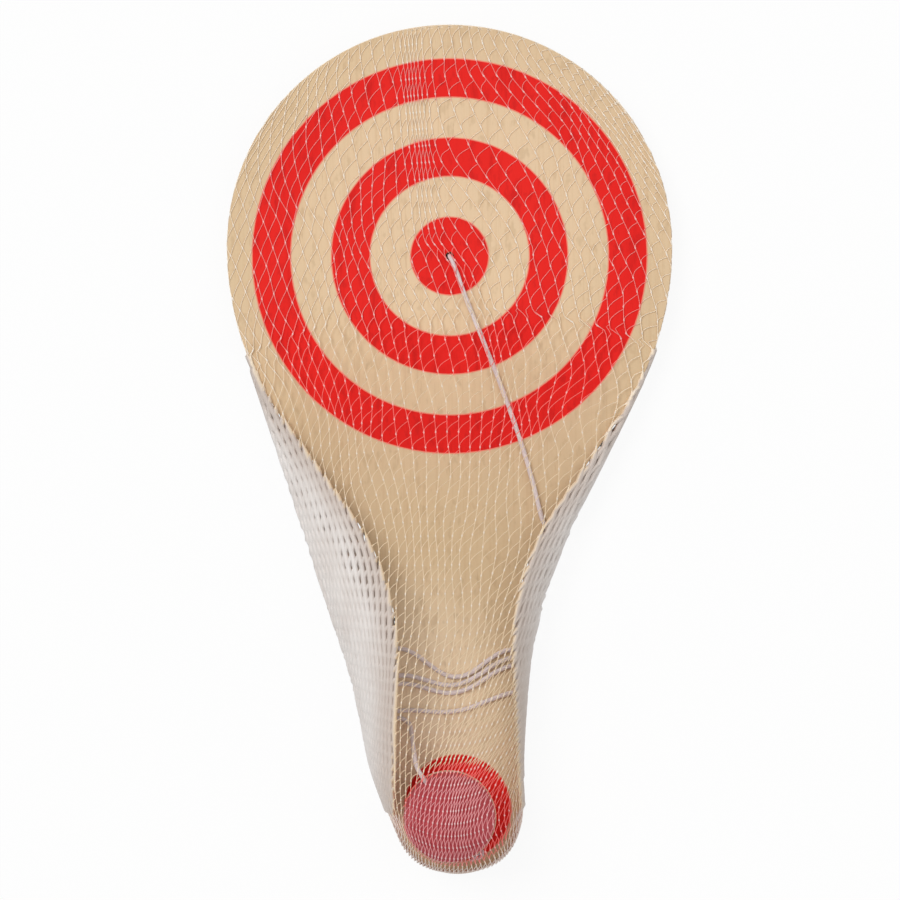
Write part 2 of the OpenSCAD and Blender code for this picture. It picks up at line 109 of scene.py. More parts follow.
def new_piece(name, points, face_sets, finish, uv=None, colour=None):
    """An object at the origin from points in metres and arrays of faces of equal length."""
    mesh = bpy.data.meshes.new(name)
    points = np.asarray(points, np.float32).reshape(-1, 3)
    corners = np.concatenate([np.asarray(f).ravel() for f in face_sets]).astype(np.int32)
    sizes = np.concatenate([np.full(len(f), np.shape(f)[1]) for f in face_sets])
    mesh.vertices.add(len(points))
    mesh.vertices.foreach_set("co", points.ravel())
    mesh.loops.add(len(corners))
    mesh.loops.foreach_set("vertex_index", corners)
    mesh.polygons.add(len(sizes))
    starts = np.concatenate([[0], np.cumsum(sizes)[:-1]]).astype(np.int32)
    mesh.polygons.foreach_set("loop_start", starts)
    mesh.polygons.foreach_set("use_smooth", np.ones(len(sizes), bool))
    if uv is not None:
        layer = mesh.uv_layers.new(name="along")
        layer.data.foreach_set("uv", np.asarray(uv, np.float32).ravel())
    if colour is not None:
        under = mesh.attributes.new("under", "FLOAT_COLOR", "POINT")
        under.data.foreach_set("color", np.asarray(colour, np.float32).ravel())
    mesh.update(calc_edges=True)
    mesh.validate()
    mesh.materials.append(finish)
    piece = bpy.data.objects.new(name, mesh)
    bpy.context.scene.collection.objects.link(piece)
    return piece


def full_turn(steps):
    """Even angles round one turn, from nought, with its end left out."""
    return 2 * math.pi * np.arange(steps) / steps


def run_along(path):
    """Each point's distance from the first one along their path."""
    return np.concatenate([[0], np.cumsum(np.linalg.norm(np.diff(path, axis=0), axis=1))])


def carried(path, radius, t, first, second):
    """A section carried along a path: path + radius (first cos t + second sin t)."""
    first, second = first[..., None, :], second[..., None, :]
    out = np.cos(t)[..., None] * first + np.sin(t)[..., None] * second
    return path[..., None, :] + np.asarray(radius)[..., None] * out


def rings(centres, normals, radii, sides):
    """Points of round tubes, with each ring square to its path.

    Its two axes are the normal made square to the path's direction, and the cross of the
    two. centres is strands by rings by 3.
    """
    ahead = unit(np.gradient(centres, axis=-2))
    across = unit(np.cross(ahead, normals))
    upward = np.cross(across, ahead)
    return carried(centres, radii[..., None], full_turn(sides), across, upward)


def strands(name, centres, normals, radii, sides, finish):
    """Many tubes of equal ring count in one mesh, each closed by a cap at both its ends.

    Each point carries the colour under it. Less of that shows where strands have fused.
    """
    count, length = centres.shape[:2]
    points = rings(centres, normals, radii, sides)
    quads, _ = grid_faces(length, sides)
    first = (np.arange(count) * length * sides)[:, None, None]
    quads = (quads[None, :, ::-1] + first).reshape(-1, 4)
    ring = np.arange(sides)
    start_caps = ring[None] + first[:, 0]
    end_caps = ring[None, ::-1] + first[:, 0] + (length - 1) * sides
    tint = under_colour(points.reshape(-1, 3))
    thick = np.broadcast_to(radii[..., None], points.shape[:3]).ravel()
    tented = slack(points.reshape(-1, 3)) > 0
    clear = np.where(tented, 1.0, np.interp(thick, (STRAND_R, CROSS_R), (1.0, CROSS_CLEAR)))
    tint[:, 3] = tint[:, 3] * clear
    return new_piece(name, placed(points), [quads, start_caps, end_caps], finish, None, tint)


def carried_normals(path, first):
    """A normal for each point of a path that turns with it and never spins about it.

    The next normal is the last one less its share along the next direction of the path.
    """
    ahead = unit(np.gradient(path, axis=0))
    normals = np.empty_like(path)
    normals[0] = unit(first - ahead[0] * (first @ ahead[0]))
    for k in range(1, len(path)):
        kept = normals[k - 1] - ahead[k] * (normals[k - 1] @ ahead[k])
        normals[k] = kept / np.linalg.norm(kept)
    return normals


def through(points, steps):
    """Catmull-Rom curve through the points, with its two ends repeated.

    Between b and c with neighbours a and d it is half of
    2b + (c-a)t + (2a-5b+4c-d)t^2 + (3b-a-3c+d)t^3.
    """
    p = np.asarray(points, float)
    p = np.vstack([p[:1], p, p[-1:]])
    a, b, c, d = p[:-3, None], p[1:-2, None], p[2:-1, None], p[3:, None]
    t = np.linspace(0, 1, steps, endpoint=False)[None, :, None]
    curve = 0.5 * (
        2 * b + (c - a) * t + (2 * a - 5 * b + 4 * c - d) * t**2 + (3 * b - a - 3 * c + d) * t**3
    )
    return np.vstack([curve.reshape(-1, 3), p[-1:]])


def evenly(path, step):
    """The same path with its points about one step apart."""
    run = run_along(path)
    keep = np.concatenate([[True], np.diff(run) > 1e-9])
    places = np.linspace(0, run[-1], int(run[-1] / step) + 1)
    return np.stack([np.interp(places, run[keep], path[keep, k]) for k in range(3)], 1)


# finishes

def plain(value):
    """A Value's own socket, or the number or colour itself."""
    return value.socket if isinstance(value, Value) else value


class Value:
    """A number that varies over a surface. Arithmetic on it adds Math nodes."""

    def __init__(self, tree, socket):
        self.tree, self.socket = tree, socket

    def math(self, operation, *terms):
        node = self.tree.nodes.new("ShaderNodeMath")
        node.operation = operation
        for slot, term in zip(node.inputs, terms):
            fill(self.tree, slot, term)
        return Value(self.tree, node.outputs[0])

    def __add__(self, other):
        return self.math("ADD", self, other)

    def __radd__(self, other):
        return self.math("ADD", other, self)

    def __sub__(self, other):
        return self.math("SUBTRACT", self, other)

    def __rsub__(self, other):
        return self.math("SUBTRACT", other, self)

    def __mul__(self, other):
        return self.math("MULTIPLY", self, other)

    def __rmul__(self, other):
        return self.math("MULTIPLY", other, self)

    def __abs__(self):
        return self.math("ABSOLUTE", self)

    def sine(self):
        return self.math("SINE", self)

    def larger(self, other):
        return self.math("MAXIMUM", self, other)

    def pingpong(self, span):
        return self.math("PINGPONG", self, span)


def fill(tree, slot, value):
    """Links a Value to a node's socket, or sets the socket to a plain number or colour."""
    value = plain(value)
    if isinstance(value, bpy.types.NodeSocket):
        tree.links.new(value, slot)
    else:
        slot.default_value = value


class Nodes:
    """An emptied node tree, with the method that makes nodes of any kind in it."""

    def __init__(self, tree):
        self.tree = tree
        self.tree.nodes.clear()

    def node(self, kind, settings=(), sockets=(), out=0):
        """Makes a node, sets its settings, then fills its sockets by name or number."""
        node = self.tree.nodes.new(kind)
        for key, value in dict(settings).items():
            setattr(node, key, value)
        for key, value in dict(sockets).items():
            fill(self.tree, node.inputs[key], value)
        return Value(self.tree, node.outputs[out])

    def show(self, kind, shader):
        """Links a shader to a new output node of the tree, or to the one it has."""
        outputs = [n for n in self.tree.nodes if n.bl_idname == kind]
        output = outputs[0] if outputs else self.tree.nodes.new(kind)
        self.tree.links.new(plain(shader), output.inputs[0])


class Finish(Nodes):
    """A material with a Principled BSDF, and the patterns that feed it."""

    def __init__(self, name):
        self.material = bpy.data.materials.new(name)
        self.material.use_nodes = True
        super().__init__(self.material.node_tree)
        self.shader = self.node("ShaderNodeBsdfPrincipled").socket.node
        self.show("ShaderNodeOutputMaterial", self.shader.outputs[0])

    def place(self, scale=(1, 1, 1), move=(0, 0, 0)):
        """Object coordinates in metres, scaled and then moved."""
        where = self.node("ShaderNodeTexCoord", out="Object")
        return self.node("ShaderNodeMapping", {"vector_type": "POINT"}, {
            "Vector": where, "Location": move, "Scale": scale})

    def length(self, vector):
        return self.node("ShaderNodeVectorMath", {"operation": "LENGTH"}, {0: vector}, "Value")

    def noise(self, vector, scale, detail=3.0, roughness=0.55, distortion=0.0):
        return self.node("ShaderNodeTexNoise", {}, {
            "Vector": vector, "Scale": scale, "Detail": detail,
            "Roughness": roughness, "Distortion": distortion}, out="Fac")

    def ramp(self, value, low, high, to_low=0.0, to_high=1.0):
        """The value's range from low to high, eased, becomes to_low to to_high."""
        return self.node("ShaderNodeMapRange", {"interpolation_type": "SMOOTHSTEP"}, {
            "Value": value, "From Min": low, "From Max": high,
            "To Min": to_low, "To Max": to_high})

    def mix(self, share, first, second):
        """Colours mixed by a share, by position of the Mix node's colour sockets."""
        return self.node(
            "ShaderNodeMix", {"data_type": "RGBA"}, {0: share, 6: first, 7: second}, out=2)

    def bump(self, height, distance, strength):
        return self.node("ShaderNodeBump", {}, {
            "Height": height, "Distance": distance, "Strength": strength})

    def set(self, **sockets):
        """Fills the shader's sockets, named with underscores for spaces."""
        for key, value in sockets.items():
            fill(self.tree, self.shader.inputs[key.replace("_", " ")], value)
        return self.material


def paint(red, green, blue):
    """A colour as it is read off a screen, 0 to 255, as the shader's own linear colour."""
    c = np.array([red, green, blue]) / 255.0
    return (*np.where(c <= 0.04045, c / 12.92, ((c + 0.055) / 1.055) ** 2.4), 1.0)


PALE_AND_LIT_PATCHES = [  # centre, inner and outer reach in metres, share, colour
    # paler in the head's middle
    ((0, 8), 0.03, 0.09, 0.75, (238, 207, 171)),
    # painted light: paler on the handle's left side, against the net's shadow there
    ((-22, -150), 0.012, 0.055, 0.9, (252, 228, 196))]


def veneer(name, seed):
    """Pale sanded veneer: fine fibres and slow tone bands along Y, small dark flecks.

    It is a little paler in the head's middle, and painted paler on the handle's left side as
    painted light against the net's shadow there. It is pressed in small soft dents all over,
    whose darker tone is partly painted shadow of the net.
    """
    f = Finish(name)
    slow = f.noise(f.place((26, 3.2, 26), move=(seed, 0, 0)), 1.0, 3.0, 0.6, 0.4)
    fibre = f.noise(f.place((900, 16, 900), move=(seed, 0, 0)), 1.0, 4.0, 0.65, 0.3)
    fleck = f.noise(f.place((1500, 110, 1500), move=(0, seed, 0)), 1.0, 2.0)
    cloud = f.noise(f.place((9, 7, 9), move=(seed, seed, 0)), 1.0, 2.0)
    tone = f.mix(f.ramp(slow, 0.3, 0.7), paint(214, 186, 149), paint(226, 198, 162))
    tone = f.mix(f.ramp(cloud, 0.35, 0.7, 0.0, 0.6), tone, paint(219, 192, 150))
    # paler in the head's middle, and painted light on the handle's left side
    for (x, y), near, far, share, paler in PALE_AND_LIT_PATCHES:
        away = f.length(f.place(move=(-x * MM, -(HEAD_Y + y) * MM, 0)))
        tone = f.mix(f.ramp(away, near, far, share, 0.0), tone, paint(*paler))
    tone = f.mix(f.ramp(fibre, 0.46, 0.78, 0.0, 0.38), tone, paint(203, 166, 125))
    tone = f.mix(f.ramp(fleck, 0.66, 0.8, 0.0, 0.35), tone, paint(176, 134, 94))
    # soft dents, whose darker tone is partly painted shadow of the net
    dents_and_net_shadow = f.noise(f.place((430, 200, 430), move=(seed, 0, 0)), 1.0, 2.0)
    tone = f.mix(f.ramp(dents_and_net_shadow, 0.54, 0.7, 0.0, 0.38), tone, paint(196, 166, 128))
    relief = fibre * 0.25 + fleck * 0.15 - dents_and_net_shadow * 0.6
    return f.set(Base_Color=tone, Roughness=f.ramp(fibre, 0.3, 0.7, 0.62, 0.74),
                 Normal=f.bump(relief, 0.00025, 0.5), Specular_IOR_Level=0.3)


def core_wood():
    """The core's cut edge: end grain seen as short dark pores and stripes along Z."""
    f = Finish("core_ply_edge")
    band = f.noise(f.place((240, 240, 40)), 1.0, 3.0, 0.6)
    pores = f.noise(f.place((2600, 2600, 900)), 1.0, 2.0)
    tone = f.mix(f.ramp(band, 0.35, 0.65), paint(196, 160, 118), paint(216, 184, 144))
    tone = f.mix(f.ramp(pores, 0.58, 0.75, 0.0, 0.7), tone, paint(140, 102, 66))
    return f.set(Base_Color=tone, Roughness=0.78, Normal=f.bump(pores, 0.00012, 0.6),
                 Specular_IOR_Level=0.25)


TARGET_Y = -3.0  # the target's centre
RING_W, BANDS = 13.2, 5  # its bands' width and number, of which every other one is inked
SPOT_R = 18.0


def printed_ink(name, centre_y, edge, repeated):
    """Satin red ink. It thins to salmon in the last third of a millimetre at its edges.
    Its darker blotches are partly mottled ink and dents, and partly painted shadow of the net.

    The distance from the print's centre is folded at every multiple of the band's width
    for the target, or taken from the spot's one radius.
    """
    f = Finish(name)
    radius = f.length(f.place((1, 1, 0), (0, -centre_y, 0)))
    ragged = f.noise(f.place((2400, 2400, 2400)), 1.0, 2.0) * 0.0002
    if repeated:
        margin = (radius + ragged - 0.0001).pingpong(edge / 2)
    else:
        margin = abs(radius + ragged - 0.0001 - edge)
    fringe = f.ramp(margin, 0.0002, 0.00048, 0.85, 0.0)
    # mottle, whose darker blotches are partly painted shadow of the net
    mottle_and_net_shadow = f.noise(f.place((420, 60, 420)), 1.0, 4.0, 0.65)
    cloud = f.noise(f.place((22, 12, 22)), 1.0, 2.0)
    tone = f.mix(f.ramp(cloud, 0.3, 0.7), paint(230, 24, 18), paint(238, 32, 24))
    tone = f.mix(f.ramp(mottle_and_net_shadow, 0.5, 0.75, 0.0, 0.7), tone, paint(204, 20, 16))
    # soft dents, whose darker tone is partly painted shadow of the net
    dents_and_net_shadow = f.noise(f.place((430, 200, 430)), 1.0, 2.0)
    tone = f.mix(f.ramp(dents_and_net_shadow, 0.54, 0.7, 0.0, 0.5), tone, paint(200, 18, 15))
    tone = f.mix(fringe, tone, paint(244, 158, 132))
    return f.set(Base_Color=tone, Roughness=f.ramp(mottle_and_net_shadow, 0.3, 0.7, 0.5, 0.62),
                 Normal=f.bump(mottle_and_net_shadow, 0.00004, 0.5), Specular_IOR_Level=0.2)


def elastic():
    """Pale covered elastic: fine ribs that wind about it, with a soft grey-pink tone."""
    f = Finish("covered_elastic")
    laid = f.node("ShaderNodeUVMap", {"uv_map": "along"})
    round_it = f.node("ShaderNodeSeparateXYZ", {}, {0: laid})
    along_it = Value(f.tree, round_it.socket.node.outputs[1])
    ribs = ((round_it * 7.0 + along_it * 190.0) * (2 * math.pi)).sine()
    counter = ((round_it * 3.0 - along_it * 420.0) * (2 * math.pi)).sine()
    weave = (ribs * 0.7 + counter * 0.3) * 0.5 + 0.5
    wear = f.noise(f.place((260, 260, 260)), 1.0, 3.0)
    tone = f.mix(f.ramp(wear, 0.35, 0.65), paint(226, 212, 210), paint(236, 222, 220))
    tone = f.mix(f.ramp(weave, 0.0, 0.45, 0.55, 0.0), tone, paint(200, 180, 182))
    return f.set(Base_Color=tone, Roughness=0.72, Normal=f.bump(weave, 0.00009, 0.7),
                 Sheen_Weight=0.15, Specular_IOR_Level=0.3)


def knot_elastic():
    """The same elastic where it is tied: no ribs, since a knot squeezes them flat."""
    f = Finish("tied_elastic")
    fine = f.noise(f.place((2200, 2200, 2200)), 1.0, 3.0)
    tone = f.mix(f.ramp(fine, 0.3, 0.7), paint(206, 184, 186), paint(226, 206, 206))
    return f.set(Base_Color=tone, Roughness=0.75, Normal=f.bump(fine, 0.0001, 0.5))


def ball_rubber():
    """Dusty rose sponge rubber: fine open pores and a faint bloom."""
    f = Finish("rose_rubber")
    pores = f.node("ShaderNodeTexVoronoi", {"feature": "F1"}, {
        "Vector": f.place(), "Scale": 2100.0, "Randomness": 1.0}, out="Distance")
    grain = f.noise(f.place((1700, 1700, 1700)), 1.0, 3.0, 0.6)
    bloom = f.noise(f.place((95, 95, 95)), 1.0, 3.0, 0.6)
    tone = f.mix(f.ramp(bloom, 0.32, 0.68), paint(186, 66, 74), paint(198, 82, 88))
    tone = f.mix(f.ramp(grain, 0.5, 0.75, 0.0, 0.35), tone, paint(210, 108, 110))
    tone = f.mix(f.ramp(pores, 0.1, 0.35, 0.35, 0.0), tone, paint(152, 46, 56))
    relief = f.ramp(pores, 0.05, 0.45) * 0.6 + grain * 0.4
    return f.set(Base_Color=tone, Roughness=f.ramp(grain, 0.3, 0.7, 0.72, 0.86),
                 Normal=f.bump(relief, 0.00012, 0.6), Sheen_Weight=0.05,
                 Specular_IOR_Level=0.3)


def flash_rubber():
    """The ball's moulding line, where the trimmed rubber is paler and browner."""
    f = Finish("trimmed_rubber")
    nibs = f.noise(f.place((1300, 1300, 1300)), 1.0, 3.0)
    tone = f.mix(f.ramp(nibs, 0.35, 0.65), paint(204, 158, 134), paint(224, 184, 156))
    return f.set(Base_Color=tone, Roughness=0.8, Normal=f.bump(nibs, 0.0001, 0.6))


def net_plastic():
    """Milky extruded strand: pale, satin, and tinted by what shows through it.

    The piece's own colour attribute holds the colour under each point, with painted light
    over the wood and ink and painted shade in the tents, and its alpha the share of it that
    shows, less where two strands have fused and the plastic is thick.
    """
    f = Finish("milky_net")
    draw = f.noise(f.place((130, 60, 130)), 1.0, 3.0)
    fine = f.noise(f.place((1500, 500, 1500)), 1.0, 2.0)
    under = f.node("ShaderNodeAttribute", {"attribute_name": "under"}, out="Color")
    share = Value(f.tree, under.socket.node.outputs["Alpha"])
    tone = f.mix(f.ramp(draw, 0.3, 0.7), paint(240, 236, 233), paint(250, 248, 246))
    tone = f.mix(share, tone, under)
    return f.set(Base_Color=tone, Roughness=f.ramp(fine, 0.3, 0.7, 0.32, 0.46),
                 Normal=f.bump(fine, 0.00003, 0.4))


# elastic string

STRING_R = 0.75
STRING_STEP = 0.55  # from one ring of its tube to the next
SEAT_R = 0.85  # its centre line passes this far from the board
BOARD_Z, MID_Z = 3.5, 6.0  # the board's back, and the middle of its thickness
OVER_Z, UNDER_Z = FACE_Z + SEAT_R, BOARD_Z - SEAT_R
WIND_ABOVE, WIND_LENGTH, WIND_SAG = 1.1, 23.4, 9.3  # about the neck's narrowest place
LEFT_SHARES = np.array([0, 0.393, 0.513, 0.897, 1])  # where turns round the left edge
RIGHT_SHARES = np.array([0.043, 0.154, 0.265, 0.65])  # and the right edge
SAG_SHARES = np.array([1, 0.645, 0.634, 0.333])
NECK_Y = -134.514  # where the neck is narrowest
GRIP_TOP, GRIP_FOOT = (19.32, -138.04), (21.44, -186.07)  # the grip's straight side
SHOULDER = (99.2, NECK_Y, 80.0)  # the hollow arc's centre, radius
BALL_C = np.array([-2.6, -188.014, 23.86])
BALL_R, BORE_R = 15.0, 1.05
BORE_AXIS = np.array([-0.523541, 0.806182, 0.275637])
KNOT_PAST = 1.6  # the ball's knot sits this far outside the ball


def straight_half(y, top, foot):
    """Half a width that runs straight from one point of the edge to a lower one."""
    return np.interp(-y, (-top[1], -foot[1]), (top[0], foot[0]))


def neck_half(y):
    """Half the board's width at the neck and grip: the shoulder's arc, then a line."""
    x, y0, r = SHOULDER
    arc = x - np.sqrt(np.maximum(r**2 - (y - y0) ** 2, 0))
    return np.where(y > GRIP_TOP[1], arc, straight_half(y, GRIP_TOP, GRIP_FOOT))


def wind_core():
    """The centre line of the turns round the neck.

    A turn is four quarter circles about the board's corners, joined by the crossings of
    the face and the back. It rounds each edge at its own share of the winding's length,
    runs straight between them in plan, and its crossing of the face sags by a squared sine.
    """
    quarter = np.linspace(0, 1, 7)
    front, back = np.linspace(0, 1, 18)[1:-1], np.linspace(0, 1, 12)[1:-1]
    left = NECK_Y + WIND_ABOVE - WIND_LENGTH * LEFT_SHARES
    right = NECK_Y + WIND_ABOVE - WIND_LENGTH * RIGHT_SHARES

    def corner(side, level, angle, y):
        a = np.radians(angle - 90 * quarter)
        x = side * neck_half(y) + SEAT_R * np.cos(a)
        return np.stack([x, np.full(7, y), level + SEAT_R * np.sin(a)], 1)

    def crossing(side, share, y, sag, z):
        x = side * (2 * share - 1) * neck_half(y)
        return np.stack([x, y - sag * np.sin(math.pi * share) ** 2, np.full(len(x), z)], 1)

    def left_edge(y):
        return [corner(-1, BOARD_Z, 270, y), corner(-1, FACE_Z, 180, y)]

    path = []
    for k, sag in enumerate(WIND_SAG * SAG_SHARES):
        path += left_edge(left[k]) + [
            crossing(1, front, left[k] + (right[k] - left[k]) * front, sag, OVER_Z),
            corner(1, FACE_Z, 90, right[k]), corner(1, BOARD_Z, 0, right[k]),
            crossing(-1, back, right[k] + (left[k + 1] - right[k]) * back, 0, UNDER_Z)]
    return np.vstack(path + left_edge(left[-1]))


def on_bore(s):
    """A point of the ball's bore, s millimetres from the ball's centre."""
    return BALL_C + s * BORE_AXIS


core = wind_core()
wind_in = core[0] + (2 * STRING_R, 0, 0)
wind_out = core[-1] + (2 * STRING_R, 0, 0)
KNOT_PLACE = (0, TARGET_Y, 2.1)
FACE_ROUTE = [
    KNOT_PLACE, (0, TARGET_Y, BOARD_Z), (0, TARGET_Y, FACE_Z - STRING_R),
    (0.2, -3.5, FACE_Z + STRING_R - 0.1), (0.9, -5, OVER_Z + 0.1),
    (2.4, -9, OVER_Z), (5.2, -17, OVER_Z), (11.4, -33, OVER_Z), (17, -48, OVER_Z),
    (22.4, -64, OVER_Z), (26.4, -78, OVER_Z), (29, -89, OVER_Z), (30, -92.2, OVER_Z),
    (31.1, -94.1, FACE_Z + STRING_R), (31.5, -95.1, MID_Z),
    (30.6, -95.9, BOARD_Z - STRING_R), (28.4, -97.4, UNDER_Z),
    (20, -104.5, UNDER_Z), (2, -120, UNDER_Z), (-8, -130, UNDER_Z),
    wind_in + (4 * STRING_R, 0, 0), wind_in + (2 * STRING_R, 0, 0), wind_in,
]
LEAD_ROUTE = [
    wind_out, wind_out + (STRING_R, -0.15, 0), wind_out + (2 * STRING_R, -0.55, 0.1),
    wind_out + (3.1, -1.9, 1.1),
    wind_out + (3.8, -4.75, 5), wind_out + (4.5, -9.75, 11.6), wind_out + (5.4, -14.35, 17),
    on_bore(BALL_R + 2 * STRING_R), on_bore(BALL_R - 2 * STRING_R), on_bore(0),
    on_bore(2 * STRING_R - BALL_R), on_bore(-BALL_R - KNOT_PAST),
]
string_path = evenly(
    np.vstack([through(FACE_ROUTE, 8), through(core, 3), through(LEAD_ROUTE, 10)]), STRING_STEP)


def string_tube(path):
    """The string: a soft square section, radius times 1 + 0.05 cos 4t, that twists along.

    The twist is 1 turn in 42 mm. The map runs once round and along it in metres.
    """
    sides, twist = 16, 2 * math.pi / 42.0
    ahead = unit(np.gradient(path, axis=0))
    side = carried_normals(path, np.array([1.0, 0.0, 0.0]))
    up = np.cross(ahead, side)
    run = run_along(path)
    t = full_turn(sides)
    radius = STRING_R * (1 + 0.05 * np.cos(4 * (t - twist * run[:, None])))
    points = carried(path, radius, t, side, up)
    quads, places = grid_faces(len(path), sides)
    ring = np.arange(sides)
    caps = np.stack([ring[::-1], ring + (len(path) - 1) * sides])
    uv = np.stack([places[..., 1] / sides, run[places[..., 0]] * MM], -1).reshape(-1, 2)
    uv = np.vstack([uv, np.tile((0.0, 0.0), (2 * sides, 1))])
    return new_piece("elastic_string", placed(points), [quads, caps], covered, uv)


def knot_tube(name, centre, axes):
    """A tied overhand knot: the closed curve ((1.7 + 0.75 cos 3a) cos 2a, the same sin 2a,
    0.75 sin 3a), carried round by a round section and turned by the given axes."""
    steps, sides, ring_r, swing_r, cord_r = 120, 12, 1.7, 0.75, 0.55
    a = full_turn(steps)
    reach = ring_r + swing_r * np.cos(3 * a)
    path = np.stack([reach * np.cos(2 * a), reach * np.sin(2 * a), swing_r * np.sin(3 * a)], 1)
    ahead = unit(np.roll(path, -1, 0) - np.roll(path, 1, 0))
    outward = unit(path * (1, 1, 0.001))
    across = unit(np.cross(ahead, outward))
    outward = np.cross(across, ahead)
    points = carried(path, cord_r, full_turn(sides), outward, across)
    points = points @ np.asarray(axes) + np.asarray(centre)
    quads, _ = grid_faces(steps, sides, closed_rows=True)
    return new_piece(name, placed(points), [quads], tied)


covered, tied = elastic(), knot_elastic()
bore_side = unit(np.cross((0.0, 0.0, 1.0), BORE_AXIS))
bore_frame = np.stack([np.cross(bore_side, BORE_AXIS), bore_side, BORE_AXIS])

string = string_tube(string_path)
back_knot = knot_tube("tied_back_knot", KNOT_PLACE, np.eye(3))
ball_knot = knot_tube("tied_ball_knot", on_bore(-BALL_R - KNOT_PAST), bore_frame)


# ball

def turned_ball():
    """The ball: a profile turned round the bore's axis, bore and rounded mouths included.

    The profile is the sphere's arc, a small quarter circle at each mouth and the bore.
    """
    turns, mouth = 120, 0.5
    rim = math.asin((BORE_R + mouth) / (BALL_R - mouth))
    arc = np.linspace(rim, math.pi - rim, 90)
    outer = np.stack([BALL_R * np.sin(arc), BALL_R * np.cos(arc)], 1)
    top = (BALL_R - mouth) * math.cos(rim)
    lip = np.linspace(math.pi, math.pi / 2 - rim, 7)[:-1]
    upper = np.stack([BORE_R + mouth + mouth * np.cos(lip), top + mouth * np.sin(lip)], 1)
    bore = np.stack([np.full(12, BORE_R), np.linspace(-top, top, 12)], 1)[:-1]
    profile = np.vstack([upper, outer, upper[::-1] * (1, -1), bore])
    points = carried(BALL_C + profile[:, 1:] * BORE_AXIS, profile[:, :1], full_turn(turns),
                     *bore_frame[:2])
    quads, _ = grid_faces(len(profile), turns, closed_rows=True)
    return new_piece("rubber_ball", placed(points), [quads[:, ::-1]], rose)


def moulding_line():
    """The ball's moulding line: an oval section 0.8 by 0.9 mm carried round the circle
    in which a plane through the ball's centre, leaning 9 degrees, cuts the ball. Its
    reach past the ball swells and fades by 0.04 sin 5a sin 13a."""
    steps, sides, sunk, half_width = 180, 8, 0.02, 0.45
    lean, way = math.radians(9), math.radians(222)
    normal = np.array([math.sin(lean) * math.cos(way), math.sin(lean) * math.sin(way),
                       math.cos(lean)])
    first = unit(np.cross(normal, (0.0, 1.0, 0.0)))
    second = np.cross(normal, first)
    a = full_turn(steps)
    outward = np.cos(a)[:, None] * first + np.sin(a)[:, None] * second
    reach = 0.4 + 0.04 * np.sin(5 * a) * np.sin(13 * a)
    points = carried(BALL_C + (BALL_R - sunk) * outward, 1.0, full_turn(sides),
                     reach[:, None] * outward, half_width * normal)
    quads, _ = grid_faces(steps, sides, closed_rows=True)
    return new_piece("ball_moulding_line", placed(points), [quads], flash)


rose, flash = ball_rubber(), flash_rubber()
ball = turned_ball()
ball_line = moulding_line()


# net sleeve

HEAD_R, CHEEK_R, CHEEK_SHIFT, TOE_R = 74.0, 100.0, 26.0, 21.5
FLANK_TOP, FLANK_FOOT = (55.55, -57.80), (33.96, -88.27)  # the head's straight flank
NET_OFF = 0.26  # the sleeve's fold passes this far outside the board's rim
NET_OVER = 0.26  # strands pass this far above the printed face
LEFT_EDGE = [(66.4, -40), (54, -79.5), (42.8, -116), (35.2, -140), (31.6, -156),
             (28.6, -172), (24.6, -184), (21.4, -192)]
RIGHT_EDGE = [(63.7, -45), (55.7, -61), (47.4, -77), (39.2, -93), (31, -112.5),
              (27.4, -125), (24.6, -137), (22.8, -153), (21.6, -169), (21.5, -177)]
TOP_CORNER, TOE_CORNER = 38.0, 20.0
SIDE_RUN, BOW_RUN = 241, 44  # the sleeve's length at its sides, and how much more amid
EDGE_SLANT = 0.85  # the flank's true distance as a share of that straight across
FOLD_SHARE = 0.35  # the net rises from its fold over this share of the free web
TENT_RISE = 30.4  # the tent's height above the face at the ball
TENT_TOP = -20  # where it starts to climb, on the head
BALL_GAP = 0.75  # the strands pass this far outside the ball
TENT_POWERS = 1.3, 2.4, 2.2  # of its arch above the ball, below it and across
HUMP, HUMP_TOP, HUMP_REACH = 1.7, 1, 7  # ridge over the string: rise, half top, spread
FACE_RUN = (8, -96)  # the string is on the face where it lies above this z and y
NET_FLOOR = 0.33  # centre line of the strands that lie on the ground
COLUMNS, ROWS = 72, 58  # strands of each family round the sleeve, rows of crossings
ROW_RUN = 5.2  # from one row to the next, as the mean
STRAND_R, CROSS_R, CROSS_HALF = 0.13, 0.31, 0.42  # a strand, a fused crossing, and half its length
CURVED_THIN = 0.96  # the curved strands are this much of the straight ones' radius
TENT_CROWD = 1.8  # strands lie this much closer beside the board
TENT_FILL = 0.62  # and their radius is this share of the space from one to the next
TENT_THIN, TENT_THICK = 0.34, 1.1  # but no less and no more than these
BACK_FINE = 0.7  # the share of that radius that the sleeve's tighter back loses
BEAD_R = 0.24  # the sealed ends' bead
TOE_BEAD_Z = 8.4  # its height at the toe, where the ball lifts the net


def arch(share, power):
    """One in the middle, falling to nought at a share of one: 1 - |share| ** power."""
    return 1 - np.minimum(1, np.abs(share)) ** power


def head_half(y, off):
    """Half the head's width at y: a circle above its centre, a wider arc below."""
    round_part = np.sqrt(np.maximum((HEAD_R + off) ** 2 - y**2, 0))
    cheek = np.sqrt(np.maximum((CHEEK_R + off) ** 2 - y**2, 0)) - CHEEK_SHIFT
    return np.where(y > 0, round_part, cheek)


def toe_half(y, off):
    """Half the handle end's width at y: its circle."""
    return np.sqrt(np.maximum((TOE_R + off) ** 2 - (y - TOE_Y) ** 2, 0))


def board_half(y):
    """Half the board's width at y: head, straight flank, shoulder, grip and round end."""
    flank = straight_half(y, FLANK_TOP, FLANK_FOOT)
    lower = np.where(y > FLANK_FOOT[1], flank, neck_half(y))
    half = np.where(y > FLANK_TOP[1], head_half(y, 0), lower)
    return np.where(y < TOE_Y, toe_half(y, 0), half)


